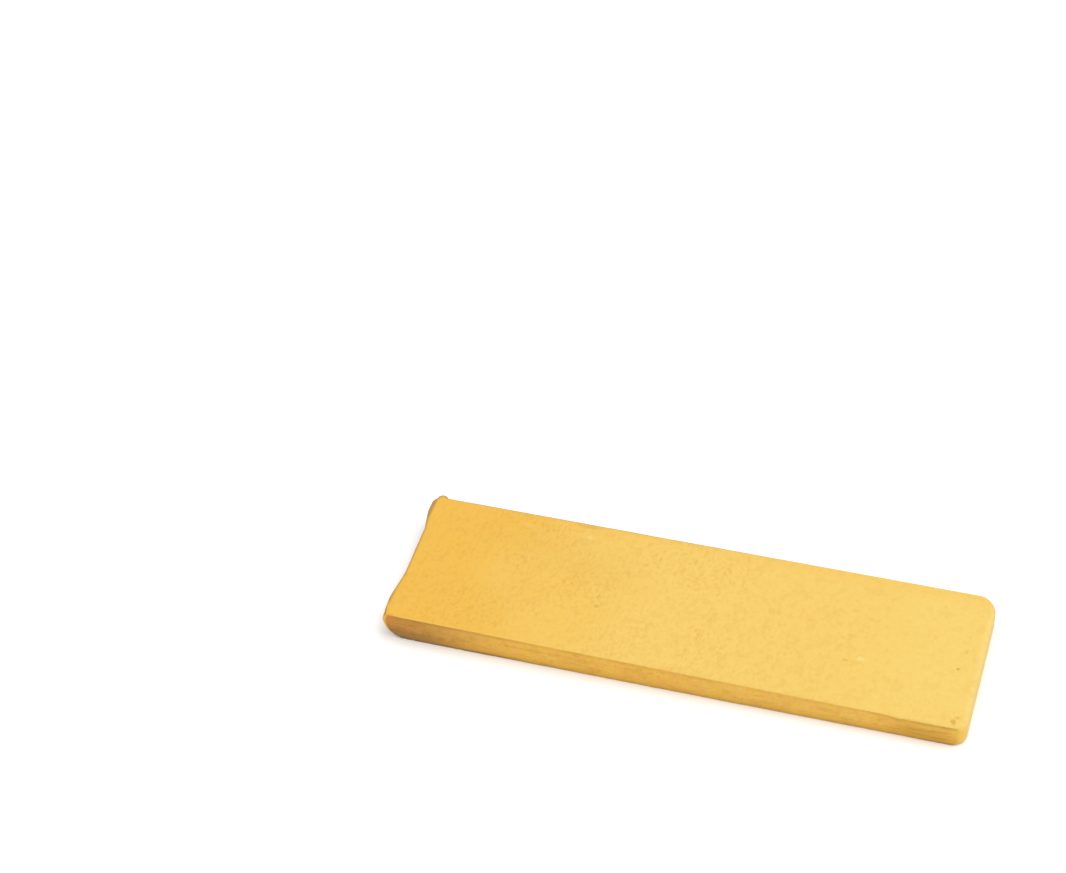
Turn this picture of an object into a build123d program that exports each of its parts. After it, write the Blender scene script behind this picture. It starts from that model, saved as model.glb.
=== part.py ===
from build123d import *

import os

# A gum-rubber grout float with no handle: a slab pressed from three sheets of gum rubber, held in
# the fingers and pushed over the tiles. One end has the mould's square shape. The other was cut
# off a longer strip, so it is hollow between its corners and rounded up from below.
# Millimetres. +X runs from the cut end to the moulded end, +Z up from the lower face. The origin
# is on the lower face, in the middle of the slab's length and width.

# Driving dimensions
LENGTH = 176.0
CUT_WIDTH = 53.6
MOULDED_WIDTH = 55.8
CUT_THICKNESS = 9.0
MOULDED_THICKNESS = 7.4
ARRIS_RADIUS = 0.4

# Where the sheets meet, as shares of the thickness
LOWER_SEAM = 1 / 3
UPPER_SEAM = 2 / 3

# The cut end: straight shoulders, a hollow between them, and a heel rounded up from below
CUT_HOLLOW = 1.4
CUT_HOLLOW_CENTRE = 2.5
CUT_HOLLOW_HALF_WIDTH = 18.5
CUT_HOLLOW_FLAT_HALF_WIDTH = 7.5
CUT_HEEL_RADIUS = 7.0
CUT_BROW_RADIUS = 1.6
CUT_FRONT_CORNER_RADIUS = 0.8
CUT_BACK_CORNER_RADIUS = 3.0

# The ear, a small lump left on the back corner of the cut end
EAR_RADIUS = 1.7
EAR_INSET = 3.1

# The moulded end
MOULDED_FRONT_CORNER_RADIUS = 4.0
MOULDED_BACK_CORNER_RADIUS = 5.5

# Derived places
moulded_x = LENGTH / 2
cut_x = -moulded_x
hollow_x = cut_x + CUT_HOLLOW
cut_y = CUT_WIDTH / 2
moulded_y = MOULDED_WIDTH / 2
corner_radii = {
    (cut_x, -cut_y): CUT_FRONT_CORNER_RADIUS,
    (cut_x, cut_y): CUT_BACK_CORNER_RADIUS,
    (moulded_x, -moulded_y): MOULDED_FRONT_CORNER_RADIUS,
    (moulded_x, moulded_y): MOULDED_BACK_CORNER_RADIUS,
}
hollow_front_y = CUT_HOLLOW_CENTRE - CUT_HOLLOW_HALF_WIDTH
hollow_back_y = CUT_HOLLOW_CENTRE + CUT_HOLLOW_HALF_WIDTH
flat_front_y = CUT_HOLLOW_CENTRE - CUT_HOLLOW_FLAT_HALF_WIDTH
flat_back_y = CUT_HOLLOW_CENTRE + CUT_HOLLOW_FLAT_HALF_WIDTH
edge_radii = {
    (cut_x, 0): CUT_HEEL_RADIUS,
    (cut_x, CUT_THICKNESS): CUT_BROW_RADIUS,
}
ear_centre = (EAR_INSET - moulded_x, moulded_y - EAR_RADIUS, CUT_THICKNESS - EAR_RADIUS)


def seam_plane(share):
    """The plane at a share of the thickness, which falls towards the moulded end."""
    fall = share * (CUT_THICKNESS - MOULDED_THICKNESS)
    run = moulded_x - cut_x
    return Plane(
        origin=(cut_x, 0, share * CUT_THICKNESS),
        x_dir=(run, 0, -fall),
        z_dir=(fall, 0, run),
    )


# The whole slab, before it is parted into its sheets: the outline seen from above, pared down to
# the tapered thickness, then its ends rounded to the profile seen from the front
with BuildPart() as slab:
    with BuildSketch() as outline:
        with BuildLine():
            Line((cut_x, -cut_y), (moulded_x, -moulded_y))
            Line((moulded_x, -moulded_y), (moulded_x, moulded_y))
            Line((moulded_x, moulded_y), (cut_x, cut_y))
            Line((cut_x, cut_y), (cut_x, hollow_back_y))
            Spline(
                (cut_x, hollow_back_y),
                (hollow_x, flat_back_y),
                (hollow_x, flat_front_y),
                (cut_x, hollow_front_y),
                tangents=[(0, -1)] * 4,
            )
            Line((cut_x, hollow_front_y), (cut_x, -cut_y))
        make_face()
        for corner, radius in corner_radii.items():
            fillet(outline.vertices().sort_by_distance(corner)[0], radius)
    extrude(amount=CUT_THICKNESS)
    split(bisect_by=seam_plane(1), keep=Keep.BOTTOM)
    fillet(slab.faces().sort_by(Axis.Z)[0].edges(), ARRIS_RADIUS)
    fillet(slab.faces().sort_by(Axis.Z)[-1].edges(), ARRIS_RADIUS)
    with BuildSketch(Plane.XZ) as profile:
        with BuildLine():
            Polyline(
                (cut_x, 0),
                (moulded_x, 0),
                (moulded_x, MOULDED_THICKNESS),
                (cut_x, CUT_THICKNESS),
                close=True,
            )
        make_face()
        for edge, radius in edge_radii.items():
            fillet(profile.vertices().sort_by_distance(edge)[0], radius)
    extrude(amount=MOULDED_WIDTH, both=True, mode=Mode.INTERSECT)

# The lower sheet, whose face lies on the tiles
with BuildPart() as bottom_ply:
    add(slab)
    split(bisect_by=seam_plane(LOWER_SEAM), keep=Keep.BOTTOM)
bottom_ply.part.label = "bottom_ply"

# The inner sheet
with BuildPart() as middle_ply:
    add(slab)
    split(bisect_by=seam_plane(LOWER_SEAM), keep=Keep.TOP)
    split(bisect_by=seam_plane(UPPER_SEAM), keep=Keep.BOTTOM)
middle_ply.part.label = "middle_ply"

# The upper sheet, with the ear
with BuildPart() as top_ply:
    add(slab)
    with Locations(ear_centre):
        Sphere(EAR_RADIUS)
    split(bisect_by=seam_plane(UPPER_SEAM), keep=Keep.TOP)
top_ply.part.label = "top_ply"

os.makedirs("parts", exist_ok=True)
export_step(bottom_ply.part, "parts/bottom_ply.step")
export_step(middle_ply.part, "parts/middle_ply.step")
export_step(top_ply.part, "parts/top_ply.step")
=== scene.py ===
import math

import bpy
import numpy as np
from mathutils import Matrix, Vector


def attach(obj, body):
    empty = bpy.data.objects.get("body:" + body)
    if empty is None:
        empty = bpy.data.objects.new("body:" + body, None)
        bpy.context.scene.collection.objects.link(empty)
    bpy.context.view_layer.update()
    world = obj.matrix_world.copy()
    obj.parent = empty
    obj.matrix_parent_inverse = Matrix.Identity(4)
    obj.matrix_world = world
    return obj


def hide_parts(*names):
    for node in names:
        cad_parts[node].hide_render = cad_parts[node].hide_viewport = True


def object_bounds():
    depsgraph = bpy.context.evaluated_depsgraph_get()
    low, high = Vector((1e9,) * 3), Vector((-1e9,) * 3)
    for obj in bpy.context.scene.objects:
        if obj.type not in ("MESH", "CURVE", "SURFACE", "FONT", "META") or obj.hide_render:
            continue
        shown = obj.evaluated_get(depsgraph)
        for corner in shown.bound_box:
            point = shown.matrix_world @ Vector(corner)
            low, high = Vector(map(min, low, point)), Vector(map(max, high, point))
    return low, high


# A handle-less gum-rubber grout float. Each of its three sheets is one closed mesh: a box of fine
# grid lines bent to the slab's real shape, with rolled edges, seams between the sheets, rough long
# sides and a torn, pitted cut end. Metres; +X runs from the cut end to the moulded end.

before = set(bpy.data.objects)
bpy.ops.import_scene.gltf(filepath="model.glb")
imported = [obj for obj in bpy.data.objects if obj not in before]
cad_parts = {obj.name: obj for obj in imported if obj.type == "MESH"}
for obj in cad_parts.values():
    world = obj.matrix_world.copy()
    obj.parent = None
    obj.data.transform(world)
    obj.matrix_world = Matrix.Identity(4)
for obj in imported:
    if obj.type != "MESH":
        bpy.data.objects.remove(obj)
cad_low, cad_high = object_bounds()

MM = 0.001
TINY = 1e-9  # keeps a division away from zero
CUT, MOULDED = -1, 1  # the ends, along X
FRONT, BACK = -1, 1  # the long sides, along Y

# ------------------------------------------------------------------ sizes from the frame


def cad_points(node):
    """The corners of a CAD node's mesh, as rows of x, y, z."""
    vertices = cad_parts[node].data.vertices
    points = np.empty(len(vertices) * 3)
    vertices.foreach_get("co", points)
    return points.reshape(-1, 3)


END_ZONE = 6 * MM
upper = cad_points("top_ply")
at_cut = upper[upper[:, 0] < cad_low[0] + END_ZONE]
at_moulded = upper[upper[:, 0] > cad_high[0] - END_ZONE]
HALF_LENGTH = (cad_high[0] - cad_low[0]) / 2
CUT_TOP = at_cut[:, 2].max()
MOULDED_TOP = at_moulded[:, 2].max()
CUT_HALF_WIDTH = -at_cut[:, 1].min()
MOULDED_HALF_WIDTH = -at_moulded[:, 1].min()

# ------------------------------------------------------------------ the slab's own shape

CORNERS = (  # end, side, radius seen from above
    (CUT, FRONT, 0.6 * MM),
    (CUT, BACK, 2.8 * MM),
    (MOULDED, FRONT, 4.0 * MM),
    (MOULDED, BACK, 5.5 * MM),
)
SHARPEST_BEND = 0.3 * MM  # the least radius that a corner keeps on an inset outline
SKIN = 0.02 * MM  # how far the surface lies inside the CAD solid before any wear
LONG_ARRIS = 0.3 * MM
MOULDED_ARRIS = 1.3 * MM

# The cut end: straight shoulders with a hollow between them, rounded up from below by the heel
# and over by the brow, which is deeper at both corners
HOLLOW = 1.4 * MM
HEEL_HEIGHT = 7.0 * MM
HEEL_DEPTH = 8.0 * MM
BROW = 0.6 * MM
FRONT_BROW = 1.4 * MM
BACK_BROW = 0.4 * MM
END_REACH = 30 * MM  # how far from the cut end its shape still moves the grid lines

# The ear on the back corner of the cut end
EAR_RADIUS = 1.65 * MM
EAR_X = cad_low[0] + 3.1 * MM
EAR_Y = cad_high[1] - EAR_RADIUS - SKIN
EAR_Z = CUT_TOP - EAR_RADIUS
EAR_BLEND = 0.1 * MM  # how softly the ear grows out of the outline

LOWER_SEAM, UPPER_SEAM = 1 / 3, 2 / 3
SEAM_SEEDS = {LOWER_SEAM: 3, UPPER_SEAM: 6}
GROOVE_SEEDS = {LOWER_SEAM: 44, UPPER_SEAM: 47}

NOISE_CELLS = 32  # along each axis, before the noise repeats


def smooth(t):
    """0 below 0 and 1 above 1, with a soft S between."""
    t = np.clip(t, 0, 1)
    return t * t * (3 - 2 * t)


def ramp(value, zero, one):
    """0 up to zero and 1 from one on, with a soft S between. It falls where one is the lesser."""
    return smooth((value - zero) / (one - zero))


def bell(offset, width):
    """1 at no offset, falling to about a third at the width."""
    return np.exp(-((offset / width) ** 2))


def noise(points, size, seed):
    """Smooth noise from -1 to 1 at points. Its bumps are about size across, or a size per axis."""
    shape = (NOISE_CELLS, NOISE_CELLS, NOISE_CELLS)
    table = np.random.default_rng(seed).uniform(-1, 1, shape)
    at = points / np.asarray(size)
    cell = np.floor(at).astype(int)
    part = smooth(at - cell)
    total = np.zeros(points.shape[:-1])
    for corner in np.ndindex(2, 2, 2):
        weight = np.where(corner, part, 1 - part).prod(axis=-1)
        i, j, k = np.moveaxis((cell + corner) % NOISE_CELLS, -1, 0)
        total += weight * table[i, j, k]
    return total


def flat_noise(x, y, size, seed):
    """The same noise, seen from above only."""
    return noise(np.stack([x, y, 0 * x], axis=-1), size, seed)


def along_slab(x, at_cut_end, at_moulded_end):
    """A measure that changes evenly from its value at the cut end to that at the moulded end."""
    share = np.clip((x + HALF_LENGTH) / (2 * HALF_LENGTH), 0, 1)
    return at_cut_end + (at_moulded_end - at_cut_end) * share


def half_width(x):
    """The slab widens towards the moulded end."""
    return along_slab(x, CUT_HALF_WIDTH, MOULDED_HALF_WIDTH)


def top_height(x):
    """The slab is thinner towards the moulded end."""
    return along_slab(x, CUT_TOP, MOULDED_TOP)


def quarter(depth, height, rise):
    """How far a quarter ellipse lies inside its end, at a rise above the level where it starts."""
    share = np.clip(rise / height, 0, 1)
    return depth * (1 - np.sqrt(1 - share**2))


def cut_end_depth(y, z):
    """How far the cut end lies inside the slab's length, at a place across it and a height."""
    hollow = HOLLOW * ramp(y, -21 * MM, -6 * MM) * ramp(y, 22 * MM, 11 * MM)
    front = FRONT_BROW * ramp(y, -21 * MM, -26 * MM)
    back = BACK_BROW * ramp(y, 12 * MM, 20 * MM)
    brow_size = BROW + front + back
    heel = quarter(HEEL_DEPTH, HEEL_HEIGHT, HEEL_HEIGHT - z)
    brow = quarter(brow_size, brow_size, z - (CUT_TOP - brow_size))
    return np.cbrt(hollow**3 + heel**3 + brow**3)


def plan_place(a, b, inset, z):
    """Where grid place a, b, each from -1 to 1, lies seen from above, on an inset outline."""
    long_half = HALF_LENGTH - inset
    wide_half = CUT_HALF_WIDTH - inset
    x = a * long_half
    y = b * wide_half
    for end, side, radius in CORNERS:
        bend = np.maximum(radius - inset, SHARPEST_BEND)
        s = (end * x - (long_half - bend)) / bend
        t = (side * y - (wide_half - bend)) / bend
        in_corner = (s > 0) & (t > 0)
        far = np.maximum(np.maximum(s, t), TINY)
        angle = math.pi / 4 * np.minimum(s, t) / far
        angle = np.where(s > t, angle, math.pi / 2 - angle)
        corner_x = end * (long_half - bend + bend * far * np.cos(angle))
        corner_y = side * (wide_half - bend + bend * far * np.sin(angle))
        x = np.where(in_corner, corner_x, x)
        y = np.where(in_corner, corner_y, y)
    y = y * (half_width(x) - inset) / wide_half
    fade = np.clip(1 - (x + HALF_LENGTH) / END_REACH, 0, 1) ** 2
    return x + cut_end_depth(y, z) * fade, y


def arris_radius(x):
    """The rounding of the outer edges, which is wider at the moulded end."""
    at_moulded_end = ramp(x, HALF_LENGTH - 5 * MM, HALF_LENGTH - 1 * MM)
    return LONG_ARRIS + (MOULDED_ARRIS - LONG_ARRIS) * at_moulded_end


# ------------------------------------------------------------------ the sheets' seams, wear and painted edge shade


def seam_height(x, y, share):
    """The height of a seam. Both drop at the front near the moulded end, where they have split."""
    if share in (0, 1):
        return share * top_height(x)
    wander = 0.02 * flat_noise(x, y, 14 * MM, SEAM_SEEDS[share])
    front = ramp(y, -5 * MM, -20 * MM)
    if share == LOWER_SEAM:
        drop = 0.10 * ramp(x, 68 * MM, 76 * MM)
    else:
        drop = 0.20 * bell(x - 72 * MM, 8 * MM)
    return (share + wander - front * drop) * top_height(x)


def face_sag(x, y, seed):
    """The pressed faces are a little uneven: how far they lie below their plane."""
    broad = 0.05 * MM * (1 + flat_noise(x, y, 26 * MM, seed))
    ripple = 0.02 * MM * (1 + flat_noise(x, y, 5 * MM, seed + 1))
    margin = np.minimum(HALF_LENGTH - np.abs(x), half_width(x) - np.abs(y))
    return (broad + ripple) * ramp(margin, 0.4 * MM, 5.4 * MM)


def torn_mask(points, outward_x):
    """1 where the cut end was torn rather than cut: its middle, away from the brow and the heel."""
    ragged = 0.8 * MM * noise(points, 2.0 * MM, seed=21) + 3.0 * MM * noise(points, 4.5 * MM, seed=22)
    y = points[..., 1] + ragged
    z = points[..., 2] + 0.12 * ragged
    across = ramp(y, -22 * MM, -19 * MM) * ramp(y, 15 * MM, 12 * MM)
    upright = ramp(z, 0.9 * MM, 1.7 * MM) * ramp(z, CUT_TOP - 0.7 * MM, CUT_TOP - 1.2 * MM)
    return across * upright * ramp(outward_x, -0.5, -0.9)


def wall_wear(points, outward_x, seed):
    """How deep the rough long sides and the smoother moulded end lie below the moulded surface."""
    streaks = 0.035 * MM * noise(points, (9 * MM, 9 * MM, 0.6 * MM), seed)
    lumps = 0.05 * MM * noise(points, 2.4 * MM, seed + 1)
    grain = 0.035 * MM * noise(points, 0.9 * MM, seed + 2)
    pits = 0.5 * MM * np.clip(noise(points, 1.4 * MM, seed + 3) - 0.6, 0, 1)
    drift = 0.04 * MM * noise(points, 38 * MM, seed + 4)
    rough = 1 - 0.7 * ramp(outward_x, 0.5, 0.9)
    return np.maximum(0.06 * MM + drift + (streaks + lumps + grain + pits) * rough, 0)


def torn_wear(points):
    """How deep the torn surface lies: lumps, crumbs and open pits."""
    lumps = 0.35 * MM * (1 + noise(points, 4.5 * MM, seed=31))
    crumbs = 0.3 * MM * noise(points, 1.7 * MM, seed=32)
    crumbs = crumbs + 0.16 * MM * noise(points, 0.8 * MM, seed=33)
    holes = noise(points, (1.6 * MM, 1.6 * MM, 1.0 * MM), seed=34)
    pits = 2.4 * MM * np.clip(holes - 0.35, 0, 1)
    return np.maximum(lumps + crumbs + pits, 0)


def split_share(x, y):
    """1 along the front side near the moulded end, where the seams have opened a little."""
    along = ramp(x, 69 * MM, 73 * MM) * ramp(x, 85 * MM, 81 * MM)
    return along * ramp(y, -19 * MM, -24 * MM)


def seam_groove(x, y, from_seam, share):
    """How deep the groove along a seam is, at a height from it."""
    depth = 0.05 * MM * (1 + flat_noise(x, y, 9 * MM, GROOVE_SEEDS[share]))
    depth = depth + 0.07 * MM * split_share(x, y)
    return depth * bell(from_seam, 0.30 * MM)


def lip_depth(x, y):
    """How far the pressed face's skin reaches down over the upper edge of a long side."""
    uneven = 0.30 * MM * ramp(x, 0, 40 * MM) * np.maximum(flat_noise(x, y, 2.2 * MM, seed=49), 0)
    lip = ramp(x, 64 * MM, 70 * MM) * ramp(x, 88 * MM, 78 * MM) * (y < 0)
    return 0.10 * MM + uneven + 0.40 * MM * lip


def lip_groove(x, y, below_top):
    """The thin overhang just under the upper front edge, near the moulded end."""
    length = ramp(x, 62 * MM, 76 * MM) * ramp(x, 85 * MM, 83 * MM) * (y < 0)
    under = 0.45 * MM + lip_depth(x, y)
    return 0.16 * MM * length * bell(below_top - under, 0.42 * MM)


def back_edge_shade(x):
    """The painted shade along the back edge is weaker towards the moulded end."""
    return 1 - 0.75 * ramp(x, -20 * MM, 60 * MM)


def front_edge_shade(x):
    """0 where the front edge carries a painted highlight, near the cut end, to 1 where it carries
    painted shade.
    """
    return ramp(x, -45 * MM, -10 * MM)


def edge_shading_mask(outward, x, y, below_top, upright):
    """Above 0 where the upper edge carries painted shade and below 0 where it carries a painted
    highlight.
    """
    outward_x, outward_y = outward.T
    near = ramp(below_top, 1.5 * MM, 0.7 * MM) * (0.7 + 0.3 * upright)
    cut = ramp(outward_x, -0.1, -0.5) * ramp(y, -24 * MM, -20 * MM)
    shoulder = 0.75 + 0.25 * ramp(y, 12 * MM, 22 * MM)
    back = 0.8 * ramp(outward_y, 0.3, 0.8) * back_edge_shade(x)
    front = ramp(outward_y, -0.6, -0.9) * (1 - upright) * (1 - 1.3 * front_edge_shade(x))
    return near * (np.maximum(cut * shoulder, back) - front)


def cap_edge_shading(x, y):
    """The same painted edge shade on the upper face, just inside its edge."""
    from_cut = x + HALF_LENGTH - cut_end_depth(y, CUT_TOP)
    cut = ramp(from_cut, 1.1 * MM, 0.5 * MM) * ramp(y, -26 * MM, -16 * MM)
    shoulder = 0.40 + 0.20 * ramp(y, 20 * MM, 25 * MM)
    back = 0.3 * ramp(half_width(x) - y, 0.8 * MM, 0.3 * MM) * back_edge_shade(x)
    front = 0.27 * ramp(half_width(x) + y, 0.9 * MM, 0.3 * MM) * front_edge_shade(x)
    return np.maximum(cut * shoulder, back + front)


def under_edge_shade_mask(x, y, below_top, outward_y):
    """1 in the band of painted shade just under the upper edge of the long sides."""
    patches = 0.75 + 0.4 * flat_noise(x, y, 6 * MM, seed=47)
    middle = 0.45 * MM + lip_depth(x, y)
    return patches * bell(below_top - middle, 0.55 * MM) * ramp(abs(outward_y), 0, 0.8)


def cut_edge(x, y, z, outward_y):
    """Above 0 in the pale strip down the end of the front side, which is wider at the top."""
    from_cut = x + HALF_LENGTH - cut_end_depth(y, z)
    width = 0.2 * MM + 1.3 * MM * z / CUT_TOP
    strip = ramp(from_cut, width + 0.3 * MM, width - 0.3 * MM)
    return 0.7 * strip * ramp(outward_y, -0.25, -0.875)


def side_mask(ring, outward, torn, upright):
    """1 on the bare long sides, below the face's skin and short of both ends."""
    x, y, z = ring.T
    outward_x, outward_y = outward.T
    below_top = top_height(x) - z
    lip = lip_depth(x, y)
    skin = ramp(below_top, lip + 0.125 * MM, lip - 0.125 * MM) * (abs(outward_y) > 0.5)
    rolled = ramp(below_top, 0.45 * MM, 0.10 * MM) * (outward_x < -0.5)
    moulded = ramp(outward_x, 0.05, 0.85)
    side = upright**2 * (1 - torn) * (1 - rolled) * (1 - moulded) * (1 - skin)
    return side * (1 - cut_edge(x, y, z, outward_y))


def with_ear(ring, inset):
    """Pushes the outline out round the ear: a post with the slab's arris, and a ball below it."""
    drop = np.clip(EAR_Z - ring[:, 2], 0, EAR_RADIUS)
    radius = np.maximum(np.sqrt(EAR_RADIUS**2 - drop**2) - inset, 0)
    away = ring[:, :2] - np.array([EAR_X, EAR_Y])
    distance = np.maximum(np.linalg.norm(away, axis=1), TINY)
    push = EAR_BLEND * np.logaddexp(0, (radius - distance) / EAR_BLEND)
    ring[:, :2] += away * (push / distance)[:, None]
    return ring


# ------------------------------------------------------------------ the grid of one sheet


def graded(cells, finest, reach, samples=2001):
    """Grid lines from -1 to 1, closer together by up to the factor finest towards both ends."""
    t = np.linspace(-1, 1, samples)
    density = 1 + (finest - 1) * (np.exp(-(1 + t) / reach) + np.exp(-(1 - t) / reach))
    total = np.concatenate([[0], np.cumsum((density[1:] + density[:-1]) / 2)])
    return np.interp(np.linspace(0, total[-1], cells + 1), total, t)


LONG_CELLS, CROSS_CELLS = 480, 192
FINE_STEP, COARSE_STEP = 2, 8  # grid cells to a face, on an outer face and on a hidden one
WALL_LEVELS = 16
ARRIS_LEVELS = 7
LOWER_FACE_SEED, UPPER_FACE_SEED = 55, 51
MASKS = ("side", "torn", "opening", "edge_shading", "shade_and_stain")
long_lines = graded(LONG_CELLS, finest=2.0, reach=0.06)
cross_lines = graded(CROSS_CELLS, finest=1.6, reach=0.15)
front_line = -np.ones(LONG_CELLS)
end_line = np.ones(CROSS_CELLS)
RING_A = np.concatenate([long_lines[:-1], end_line, long_lines[:0:-1], -end_line])
RING_B = np.concatenate([front_line, cross_lines[:-1], -front_line, cross_lines[:0:-1]])
RING = len(RING_A)


def ring_index(i, j):
    """The place round the outline of outer grid point i along the length and j across."""
    if j == 0 and i < LONG_CELLS:
        return i
    if i == LONG_CELLS and j < CROSS_CELLS:
        return LONG_CELLS + j
    if j == CROSS_CELLS and i > 0:
        return LONG_CELLS + CROSS_CELLS + (LONG_CELLS - i)
    return 2 * LONG_CELLS + CROSS_CELLS + (CROSS_CELLS - j)


def cell_loop(i, j, step):
    """The grid points round one face, from the corner that is inside the outline."""
    last_i, last_j = i + step, j + step
    front = [(i + k, j) for k in range(step if j == 0 else 1)]
    right = [(last_i, j + k) for k in range(step if last_i == LONG_CELLS else 1)]
    back = [(last_i - k, last_j) for k in range(step if last_j == CROSS_CELLS else 1)]
    left = [(i, last_j - k) for k in range(step if i == 0 else 1)]
    loop = front + right + back + left
    first = loop.index((i or last_i, j or last_j))
    return loop[first:] + loop[:first]


def cap_polygons(step, ring_start, inner_start, upward):
    """Faces over the outline, step cells wide. Those at its edge fan out to every ring point."""
    across = CROSS_CELLS // step - 1

    def point(i, j):
        if i in (0, LONG_CELLS) or j in (0, CROSS_CELLS):
            return ring_start + ring_index(i, j)
        return inner_start + (i // step - 1) * across + j // step - 1

    polygons = []
    for i in range(0, LONG_CELLS, step):
        for j in range(0, CROSS_CELLS, step):
            loop = [point(*place) for place in cell_loop(i, j, step)]
            parts = [loop]
            if len(loop) > 4:
                parts = [(loop[0], *edge) for edge in zip(loop[1:], loop[2:])]
            polygons += parts if upward else [part[::-1] for part in parts]
    return polygons


def cap_points(step, share, seed):
    """The points inside an outer face or a hidden seam face."""
    a, b = np.meshgrid(long_lines[step:-1:step], cross_lines[step:-1:step], indexing="ij")
    a, b = a.ravel(), b.ravel()
    arris = arris_radius(a * HALF_LENGTH) if share in (0, 1) else 0
    x, y = plan_place(a, b, SKIN + arris, share * CUT_TOP)
    z = seam_height(x, y, share)
    if share == 1:
        z = z - SKIN - face_sag(x, y, seed)
    if share == 0:
        z = z + face_sag(x, y, seed)
    return np.stack([x, y, z], axis=1)


def ring_levels(low_share, high_share):
    """For each ring of a sheet from below: its heights, its inset and how upright the wall is."""
    x, y = plan_place(RING_A, RING_B, SKIN, CUT_TOP / 2)
    arris = arris_radius(x)
    turns = np.linspace(0, math.pi / 2, ARRIS_LEVELS)
    low, high = seam_height(x, y, low_share), seam_height(x, y, high_share)
    levels = []
    if low_share == 0:
        for t in turns[:-1]:
            levels.append((arris * (1 - math.cos(t)), arris * (1 - math.sin(t)), math.sin(t)))
        low = low + arris
    if high_share == 1:
        high = high - SKIN - arris
    for share in (1 - np.cos(np.linspace(0, math.pi, WALL_LEVELS))) / 2:
        levels.append((low + (high - low) * share, 0 * x, 1))
    if high_share == 1:
        for t in turns[1:]:
            levels.append((high + arris * math.sin(t), arris * (1 - math.cos(t)), math.cos(t)))
    return levels


def outward_of(ring):
    """The level direction out of the wall at each point of a ring, as rows of x, y."""
    step = np.roll(ring, -1, axis=0) - np.roll(ring, 1, axis=0)
    outward = np.stack([step[:, 1], -step[:, 0]], axis=-1)
    return outward / np.maximum(np.linalg.norm(outward, axis=-1, keepdims=True), TINY)


def ply_rings(low_share, high_share, seed):
    """The rings of points round one sheet, and the masks its material needs at them."""
    rings, masks = [], []
    for z, inset, upright in ring_levels(low_share, high_share):
        x, y = plan_place(RING_A, RING_B, SKIN + inset, z)
        ring = np.stack([x, y, z], axis=-1)
        outward = outward_of(ring)
        below_top = top_height(x) - z
        opening = lip_groove(x, y, below_top)
        stain = 0 * x
        for share in (LOWER_SEAM, UPPER_SEAM):
            from_seam = z - seam_height(x, y, share)
            opening = opening + seam_groove(x, y, from_seam, share)
            stain = np.maximum(stain, 0.5 * split_share(x, y) * bell(from_seam, 0.6 * MM))
        torn = torn_mask(ring, outward[:, 0])
        side = side_mask(ring, outward, torn, upright)
        # Where shade and highlight are painted along the upper edges.
        edge_shading = edge_shading_mask(outward, x, y, below_top, upright)
        # Where shade is painted under the upper edge, with the stains along the split seams.
        shade_and_stain = np.maximum(under_edge_shade_mask(x, y, below_top, outward[:, 1]), stain)
        masks.append(np.stack([side, torn, opening / MM, edge_shading, shade_and_stain], axis=-1))
        worn = wall_wear(ring, outward[:, 0], seed) * (1 - torn) + torn_wear(ring) * torn
        ring[:, :2] -= outward * ((worn + opening) * upright)[:, None]
        if high_share == 1:
            ring = with_ear(ring, inset)
        rings.append(ring)
    return rings, masks


def make_ply(node, low_share, high_share, seed):
    """One sheet as a closed mesh, riding on the float and standing for its CAD node."""
    rings, masks = ply_rings(low_share, high_share, seed)
    low_step = FINE_STEP if low_share == 0 else COARSE_STEP
    high_step = FINE_STEP if high_share == 1 else COARSE_STEP
    low_cap = cap_points(low_step, low_share, LOWER_FACE_SEED)
    high_cap = cap_points(high_step, high_share, UPPER_FACE_SEED)
    points = np.concatenate(rings + [low_cap, high_cap])
    ring_points = len(rings) * RING
    polygons = [
        (k * RING + i, k * RING + j, (k + 1) * RING + j, (k + 1) * RING + i)
        for k in range(len(rings) - 1)
        for i, j in zip(range(RING), [*range(1, RING), 0])
    ]
    polygons += cap_polygons(low_step, 0, ring_points, False)
    polygons += cap_polygons(high_step, ring_points - RING, ring_points + len(low_cap), True)
    mesh = bpy.data.meshes.new(node)
    mesh.from_pydata(points.tolist(), [], polygons)
    mesh.polygons.foreach_set("use_smooth", [True] * len(mesh.polygons))
    cap_masks = np.zeros((len(low_cap) + len(high_cap), len(MASKS)))
    if high_share == 1:
        cap_masks[len(low_cap):, MASKS.index("edge_shading")] = cap_edge_shading(high_cap[:, 0], high_cap[:, 1])
    values = np.concatenate(masks + [cap_masks])
    for column, name in enumerate(MASKS):
        layer = mesh.attributes.new(name, "FLOAT", "POINT")
        layer.data.foreach_set("value", np.ascontiguousarray(values[:, column], dtype=np.float32))
    piece = bpy.data.objects.new(node + "_rubber", mesh)
    bpy.context.collection.objects.link(piece)
    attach(piece, "root")
    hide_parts(node)
    return piece


# ------------------------------------------------------------------ material

DEEP = (0.695, 0.398, 0.050, 1)
MIDDLE = (0.704, 0.474, 0.105, 1)
PALE = (0.710, 0.494, 0.118, 1)
ORANGE = (0.720, 0.350, 0.040, 1)
TAN = (0.640, 0.365, 0.055, 1)
SPECK = (0.540, 0.275, 0.035, 1)
# Real pale flecks, also used for painted highlights on the edges
FLECK_AND_HIGHLIGHT = (0.820, 0.680, 0.330, 1)
SIDE = (0.690, 0.415, 0.044, 1)
SIDE_WARM = (0.708, 0.360, 0.060, 1)
SIDE_DARK = (0.480, 0.250, 0.026, 1)
# Painted shade for the long sides towards the cut end
SIDE_SHADE_BROWN = (0.270, 0.112, 0.017, 1)
RUST = (0.560, 0.190, 0.030, 1)
# The colour of the painted highlight on the moulded end's front corner
HIGHLIGHT_GOLD = (0.790, 0.460, 0.045, 1)
TORN = (0.430, 0.220, 0.042, 1)
TORN_DARK = (0.240, 0.110, 0.024, 1)
# Painted shade along the upper edges and in the seam grooves
EDGE_AND_GROOVE_SHADE = (0.330, 0.190, 0.055, 1)
# Real dark specks, and painted contact shade along the lower edges and under the heel
DIRT_AND_CONTACT_SHADE = (0.165, 0.105, 0.034, 1)

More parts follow.
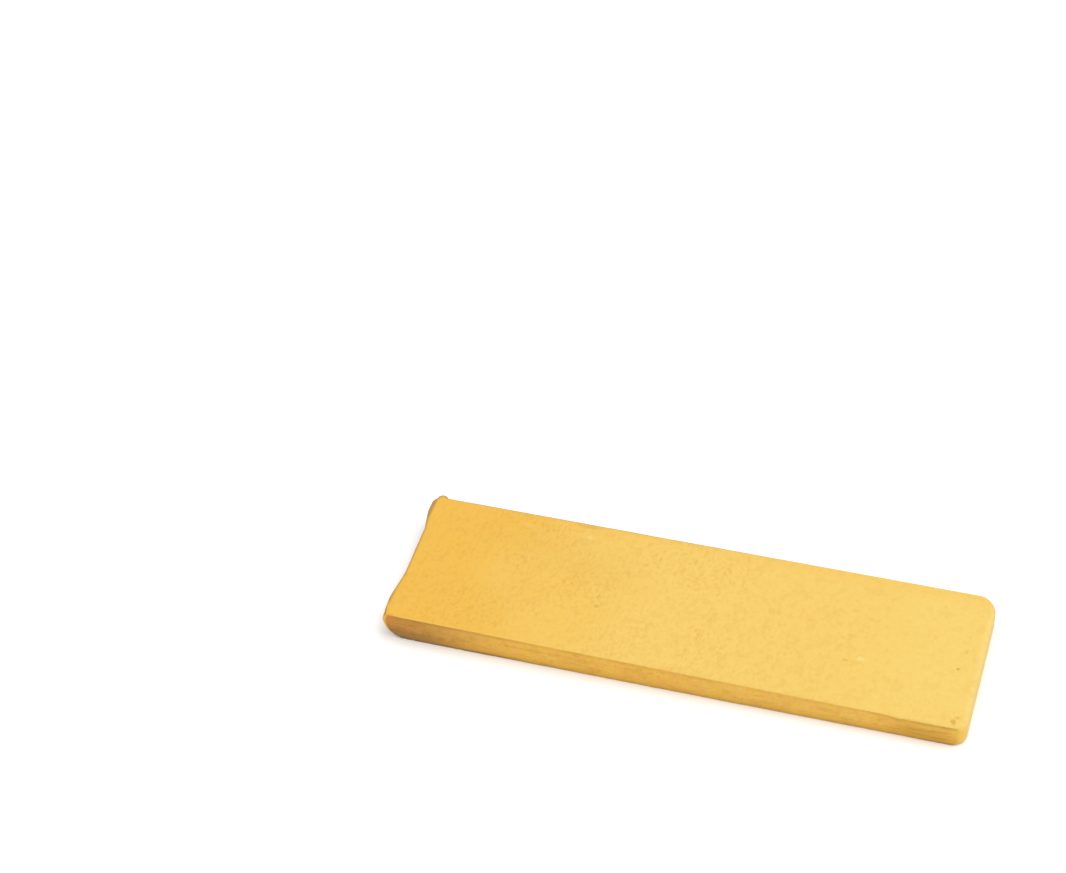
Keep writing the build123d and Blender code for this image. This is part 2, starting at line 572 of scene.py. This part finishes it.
# Ovals: x, y, half length and half width in mm, turn in degrees and strength, and for an oval that
# isn't on the upper face its z and half height in mm
DARK_MARKS = (
    (81.3, -4.2, 0.75, 0.60, 20, 0.50),
    (-27.5, -2.5, 1.20, 0.75, 80, 0.24),
    (-27.3, -6.8, 1.10, 0.90, 30, 0.26),
    (-71.9, -4.2, 0.60, 0.45, 60, 0.15),
    (48.9, -9.2, 1.00, 0.70, 20, 0.18),
    (82.6, 3.4, 1.10, 0.60, 70, 0.15),
)
WORN_MARKS = (
    (83.7, -25.5, 1.60, 0.90, 105, 0.70),
    (84.6, -23.6, 1.00, 0.70, 75, 0.45),
    (-38.0, 25.8, 5.00, 1.00, 0, 0.30),
)
TAN_MARKS = (
    (-42.0, 12.0, 30.0, 13.0, -12, 0.26),
    (-62.0, -12.0, 22.0, 12.0, 10, 0.14),
)
ORANGE_MARKS = (
    (-52.0, 26.2, 6.00, 1.20, 0, 0.20),
    (-20.0, 26.6, 9.00, 1.20, 0, 0.25),
    (-30.5, 24.2, 2.60, 1.20, 5, 0.28),
    (-42.9, -4.0, 3.20, 0.70, 10, 0.16),
)
# A painted highlight on the rounded front corner of the moulded end
CORNER_HIGHLIGHT_MARKS = (
    (86.8, -27.0, 3.40, 2.60, 60, 0.75, 3.8, 3.6),
)
RUST_MARKS = (
    (-85.6, -26.8, 1.50, 1.00, 10, 0.55, 8.2, 2.4),
    (-85.0, -26.8, 2.60, 1.50, 0, 0.30, 5.8, 1.2),
    (-79.5, -26.8, 1.80, 1.50, 0, 0.30, 6.0, 0.9),
)
STAIN_MARKS = (
    (75.5, -27.6, 12.0, 2.5, 0, 0.55, 2.0, 4.6),
)
PALE_MARKS = (
    (52.9, -7.7, 1.50, 1.00, 20, 0.30),
    (-56.0, 22.0, 2.20, 0.90, 0, 0.10),
    (-36.6, 21.3, 1.50, 1.00, 20, 0.16),
)


# The colour sockets of a Mix node, whose names its other sockets share
MIX_FIRST, MIX_SECOND, MIX_RESULT = 6, 7, 2


class Nodes:
    """Short ways to add shader nodes to one material."""

    def __init__(self, material):
        material.use_nodes = True
        self.tree = material.node_tree
        self.shader = self.tree.nodes["Principled BSDF"]

    def add(self, kind, inputs=(), **settings):
        """A new node, with its settings made and its inputs linked or filled in."""
        node = self.tree.nodes.new("ShaderNode" + kind)
        for name, value in settings.items():
            setattr(node, name, value)
        for name, value in dict(inputs).items():
            self.put(node.inputs[name], value)
        return node

    def put(self, socket, value):
        """Links an output to a socket, or sets the socket to a constant."""
        if isinstance(value, bpy.types.NodeSocket):
            self.tree.links.new(value, socket)
        else:
            socket.default_value = value

    def attribute(self, name):
        """One of the masks stored on the mesh."""
        return self.add("Attribute", attribute_name=name).outputs["Fac"]

    def math(self, operation, first, second):
        """One step of arithmetic on outputs or numbers."""
        return self.add("Math", {0: first, 1: second}, operation=operation).outputs[0]

    def times(self, first, second):
        """The product of two outputs or numbers."""
        return self.math("MULTIPLY", first, second)

    def larger(self, first, second):
        """The larger of two outputs or numbers."""
        return self.math("MAXIMUM", first, second)

    def between(self, value, low, high, to_low=0.0, to_high=1.0):
        """value from low to high, carried softly to to_low and to_high and held there."""
        limits = {"From Min": low, "From Max": high, "To Min": to_low, "To Max": to_high}
        node = self.add("MapRange", {"Value": value, **limits}, interpolation_type="SMOOTHSTEP")
        return node.outputs["Result"]

    def over(self, distance, low, high, to_low=0.0, to_high=1.0):
        """The same for a distance, with low and high in mm."""
        return self.between(distance, low * MM, high * MM, to_low, to_high)

    def noise(self, place, per_metre, detail=3.0, stretch=(1, 1, 1)):
        """Noise from 0 to 1, finer the more bumps there are per metre and squeezed by stretch."""
        moved = self.add("Mapping", {"Vector": place, "Scale": stretch}).outputs["Vector"]
        noise = self.add("TexNoise", {"Vector": moved, "Scale": per_metre, "Detail": detail})
        return noise.outputs["Fac"]

    def mix(self, factor, first, second):
        """The first colour at factor 0 and the second at factor 1."""
        node = self.add("Mix", data_type="RGBA")
        self.put(node.inputs["Factor"], factor)
        self.put(node.inputs[MIX_FIRST], first)
        self.put(node.inputs[MIX_SECOND], second)
        return node.outputs[MIX_RESULT]

    def spot(self, place, x, y, length, width, turn, strength, z=8.2, height=6):
        """strength in an oval, all in mm, fading to 0 beyond its half length, width and height."""
        centre = (x * MM, y * MM, z * MM)
        shape = {"Location": centre, "Rotation": (0, 0, math.radians(turn))}
        shape["Scale"] = (length * MM, width * MM, height * MM)
        local = self.add("Mapping", {"Vector": place, **shape}, vector_type="TEXTURE")
        gap = self.add("VectorMath", {0: local.outputs[0]}, operation="LENGTH").outputs["Value"]
        return self.between(gap, 0.3, 1.2, strength, 0.0)

    def paint_marks(self, colour, place, paints):
        """colour with each group of marks painted over it in its own paint."""
        for marks, paint in paints:
            for mark in marks:
                colour = self.mix(self.spot(place, *mark), colour, paint)
        return colour


def ragged_place(nodes, place):
    """place, moved about a little, so that marks have uneven edges."""
    wobble = nodes.add("TexNoise", {"Vector": place, "Scale": 1200}).outputs["Color"]
    shift = nodes.add("VectorMath", {0: wobble, 1: (0.5, 0.5, 0.5)}, operation="SUBTRACT")
    shift = nodes.add("VectorMath", {0: shift.outputs[0], "Scale": 1.6 * MM}, operation="SCALE")
    return nodes.add("VectorMath", {0: place, 1: shift.outputs[0]}, operation="ADD").outputs[0]


def face_colour(nodes, place, x, y):
    """The pressed faces: mottled, grainy, marked, and paled towards the moulded end by a painted
    sheen.
    """
    clouds = nodes.noise(place, per_metre=45, detail=3)
    # Painted sheen: the face pales towards the moulded end, as under a soft light from the right.
    sheen_place = nodes.math("ADD", x, nodes.times(clouds, 60 * MM))
    colour = nodes.mix(nodes.over(sheen_place, -50, 22), DEEP, MIDDLE)
    colour = nodes.mix(nodes.over(sheen_place, 80, 112), colour, PALE)
    colour = nodes.paint_marks(colour, place, ((TAN_MARKS, TAN),))
    mottle = nodes.noise(place, per_metre=330, detail=4)
    colour = nodes.mix(nodes.between(mottle, 0.50, 0.70, 0.0, 0.12), colour, ORANGE)
    colour = nodes.mix(nodes.between(mottle, 0.32, 0.50, 0.25, 0.0), colour, TAN)
    colour = nodes.mix(nodes.over(y, 21, 26.5, 0.0, 0.15), colour, ORANGE)
    # A painted highlight along the rounded moulded end.
    colour = nodes.mix(nodes.over(x, 85.5, 87.5, 0.0, 0.16), colour, FLECK_AND_HIGHLIGHT)
    patchy = nodes.between(nodes.noise(place, per_metre=70, detail=2), 0.35, 0.65, 0.4, 1.0)
    patchy = nodes.times(patchy, nodes.over(x, -30, 50, 1.0, 0.45))
    grain = nodes.noise(place, per_metre=950, detail=4, stretch=(1, 0.7, 1))
    grain = nodes.between(grain, 0.44, 0.78, 0.0, 0.48)
    scores = nodes.noise(place, per_metre=700, detail=3, stretch=(1, 0.35, 1))
    scores = nodes.between(scores, 0.48, 0.75, 0.0, 0.30)
    for wear in (grain, scores):
        colour = nodes.mix(nodes.times(wear, patchy), colour, SPECK)
    paints = (
        # the first pair paints a highlight on the moulded end's front corner
        (CORNER_HIGHLIGHT_MARKS, HIGHLIGHT_GOLD),
        (DARK_MARKS, DIRT_AND_CONTACT_SHADE),
        (WORN_MARKS, SIDE_DARK),
        (ORANGE_MARKS, ORANGE),
        (PALE_MARKS, FLECK_AND_HIGHLIGHT),
    )
    colour = nodes.paint_marks(colour, ragged_place(nodes, place), paints)
    # Painted highlight, then painted shade, along the upper edges.
    edge_shading = nodes.attribute("edge_shading")
    colour = nodes.mix(nodes.between(edge_shading, -0.9, -0.1, 0.12, 0.0), colour, FLECK_AND_HIGHLIGHT)
    return nodes.mix(nodes.between(edge_shading, 0.05, 0.75, 0.0, 0.85), colour, EDGE_AND_GROOVE_SHADE)


def side_colour(nodes, place, x, z, face):
    """The long sides: browner than the faces, blotched, darker low down, with painted shade at the
    cut end.
    """
    blotches = nodes.noise(place, per_metre=480, detail=4, stretch=(0.75, 0.75, 1))
    streaks = nodes.noise(place, per_metre=420, detail=4, stretch=(0.40, 0.40, 1.2))
    grain = nodes.noise(place, per_metre=1100, detail=4, stretch=(0.8, 0.8, 1))
    colour = nodes.mix(nodes.between(blotches, 0.36, 0.64), SIDE, SIDE_WARM)
    colour = nodes.mix(nodes.between(streaks, 0.30, 0.48, 0.45, 0.0), colour, face)
    colour = nodes.mix(nodes.between(streaks, 0.50, 0.75, 0.0, 0.48), colour, SIDE_DARK)
    colour = nodes.mix(nodes.between(grain, 0.48, 0.75, 0.0, 0.50), colour, SIDE_DARK)
    clean = nodes.times(nodes.over(x, -10, 30, 0.0, 0.22), nodes.over(x, 58, 68, 1.0, 0.0))
    colour = nodes.mix(clean, colour, face)
    # Painted shade under the upper edge, with the stains along the split seams.
    shade_and_stain_mix = nodes.larger(nodes.over(x, -70, -10, 0.85, 0.30), nodes.over(x, 60, 70, 0.0, 0.65))
    shade_and_stain_mix = nodes.times(shade_and_stain_mix, nodes.attribute("shade_and_stain"))
    colour = nodes.mix(shade_and_stain_mix, colour, SIDE_DARK)
    # Painted shade: the long sides darken towards the cut end, away from the light on the right.
    cut_end_shade_place = nodes.math("ADD", x, nodes.times(blotches, 30 * MM))
    cut_end_shade = nodes.over(cut_end_shade_place, -74, -28, 0.97, 0.0)
    cut_end_shade = nodes.times(cut_end_shade, nodes.over(z, 1, 7, 1.0, 0.68))
    colour = nodes.mix(cut_end_shade, colour, SIDE_SHADE_BROWN)
    rusty = nodes.between(nodes.noise(place, per_metre=700, detail=3), 0.50, 0.72, 0.0, 0.60)
    rusty = nodes.times(rusty, nodes.over(x, -84, -55, 1.0, 0.0))
    colour = nodes.mix(rusty, colour, RUST)
    # Darker low down: partly dirt, partly painted shade near the floor.
    low = nodes.math("ADD", z, nodes.times(blotches, -1 * MM))
    colour = nodes.mix(nodes.over(low, 0, 3.2, 0.45, 0.0), colour, SIDE_DARK)
    # Painted shade under the heel of the cut end, near the floor.
    heel = nodes.times(nodes.over(x, -82, -60, 0.60, 0.0), nodes.over(low, 0, 4.5, 1.0, 0.0))
    colour = nodes.mix(heel, colour, DIRT_AND_CONTACT_SHADE)
    # Painted contact shade as a dark line along the lower edge.
    contact_shade = nodes.larger(nodes.over(x, -65, -20, 0.90, 0.35), nodes.over(x, 64, 78, 0.0, 0.85))
    contact_shade = nodes.times(contact_shade, nodes.over(x, 83.5, 85, 1.0, 0.2))
    contact_shade = nodes.times(contact_shade, nodes.over(low, -0.5, 1, 1.0, 0.0))
    return nodes.mix(contact_shade, colour, DIRT_AND_CONTACT_SHADE)


def torn_colour(nodes, place):
    """The torn middle of the cut end: brown, with dark crumbs."""
    crumbs = nodes.noise(place, per_metre=700, detail=5)
    colour = nodes.mix(nodes.between(crumbs, 0.30, 0.50), SIDE_DARK, TORN)
    return nodes.mix(nodes.between(crumbs, 0.48, 0.72), colour, TORN_DARK)


def rubber_material():
    """The one material of all three sheets, led by the masks on their meshes."""
    material = bpy.data.materials.new("gum_rubber")
    nodes = Nodes(material)
    place = nodes.add("TexCoord").outputs["Object"]
    x, y, z = nodes.add("SeparateXYZ", {"Vector": place}).outputs
    face = face_colour(nodes, place, x, y)
    side = nodes.between(nodes.attribute("side"), 0.2, 0.9)
    colour = nodes.mix(side, face, side_colour(nodes, place, x, z, face))
    colour = nodes.mix(nodes.attribute("torn"), colour, torn_colour(nodes, place))
    # Painted shade in the seam grooves and in the groove under the lip of the upper front edge.
    opening = nodes.between(nodes.attribute("opening"), 0.06, 0.34, 0.0, 0.85)
    colour = nodes.mix(opening, colour, EDGE_AND_GROOVE_SHADE)
    colour = nodes.paint_marks(colour, place, ((RUST_MARKS, RUST), (STAIN_MARKS, SIDE_DARK)))
    nodes.put(nodes.shader.inputs["Base Color"], colour)
    sheen = nodes.between(nodes.noise(place, per_metre=260, detail=3), 0.3, 0.7, 0.55, 0.70)
    nodes.put(nodes.shader.inputs["Roughness"], sheen)
    nodes.shader.inputs["Specular IOR Level"].default_value = 0.3
    cloth = nodes.noise(place, per_metre=1500, detail=4, stretch=(1, 0.6, 1))
    bump = nodes.add("Bump", {"Height": cloth, "Strength": 0.5, "Distance": 0.1 * MM})
    nodes.put(nodes.shader.inputs["Normal"], bump.outputs["Normal"])
    return material


SHEETS = (  # node, lower and upper face as shares of the thickness, seed of the wall's wear
    ("bottom_ply", 0, LOWER_SEAM, 61),
    ("middle_ply", LOWER_SEAM, UPPER_SEAM, 71),
    ("top_ply", UPPER_SEAM, 1, 81),
)
rubber = rubber_material()
for sheet in SHEETS:
    make_ply(*sheet).data.materials.append(rubber)

# ------------------------------------------------------------------ floor, light and camera

FLOOR_HALF = 2.5
FLOOR_COLOUR = (0.95, 0.95, 0.95, 1)
FLOOR_ROUGHNESS = 0.9
floor_corners = [(-FLOOR_HALF, -FLOOR_HALF, 0), (FLOOR_HALF, -FLOOR_HALF, 0)]
floor_corners += [(FLOOR_HALF, FLOOR_HALF, 0), (-FLOOR_HALF, FLOOR_HALF, 0)]
floor_mesh = bpy.data.meshes.new("floor")
floor_mesh.from_pydata(floor_corners, [], [(0, 1, 2, 3)])
floor = bpy.data.objects.new("floor", floor_mesh)
bpy.context.collection.objects.link(floor)
floor_material = bpy.data.materials.new("pale_floor")
floor_shader = Nodes(floor_material).shader
floor_shader.inputs["Base Color"].default_value = FLOOR_COLOUR
floor_shader.inputs["Roughness"].default_value = FLOOR_ROUGHNESS
floor_mesh.materials.append(floor_material)

STUDIO_WHITE = (1, 1, 1, 1)
STUDIO_STRENGTH = 0.85
world = bpy.data.worlds.new("studio")
world.use_nodes = True
background = world.node_tree.nodes["Background"]
background.inputs["Color"].default_value = STUDIO_WHITE
background.inputs["Strength"].default_value = STUDIO_STRENGTH
bpy.context.scene.world = world


def area_light(name, place, size, power):
    """A round soft light at a place, turned to the float."""
    light = bpy.data.lights.new(name, "AREA")
    light.shape = "DISK"
    light.size = size
    light.energy = power
    lamp = bpy.data.objects.new(name, light)
    lamp.location = place
    lamp.rotation_euler = Vector(place).to_track_quat("Z", "Y").to_euler()
    bpy.context.collection.objects.link(lamp)


area_light("key", place=(0.35, 0.25, 1.1), size=1.2, power=7)
area_light("fill", place=(-0.2, -0.8, 0.8), size=1.0, power=2.5)

CAMERA_PLACE = (151.63 * MM, -681.97 * MM, 699.64 * MM)
CAMERA_HEADING = math.radians(16.305)
CAMERA_PITCH = math.radians(41.741)
CAMERA_ROLL = math.radians(-1.091)
SENSOR_WIDTH = 36
FOCAL_LENGTH = 111.16
camera_data = bpy.data.cameras.new("camera")
camera_data.sensor_width = SENSOR_WIDTH
camera_data.lens = FOCAL_LENGTH
camera = bpy.data.objects.new("camera", camera_data)
turn = Matrix.Rotation(CAMERA_HEADING, 4, "Z")
turn = turn @ Matrix.Rotation(math.pi / 2 - CAMERA_PITCH, 4, "X")
turn = turn @ Matrix.Rotation(CAMERA_ROLL, 4, "Z")
camera.matrix_world = Matrix.Translation(CAMERA_PLACE) @ turn
bpy.context.collection.objects.link(camera)
bpy.context.scene.camera = camera
bpy.context.scene.view_settings.view_transform = "Standard"

bpy.context.view_layer.update()
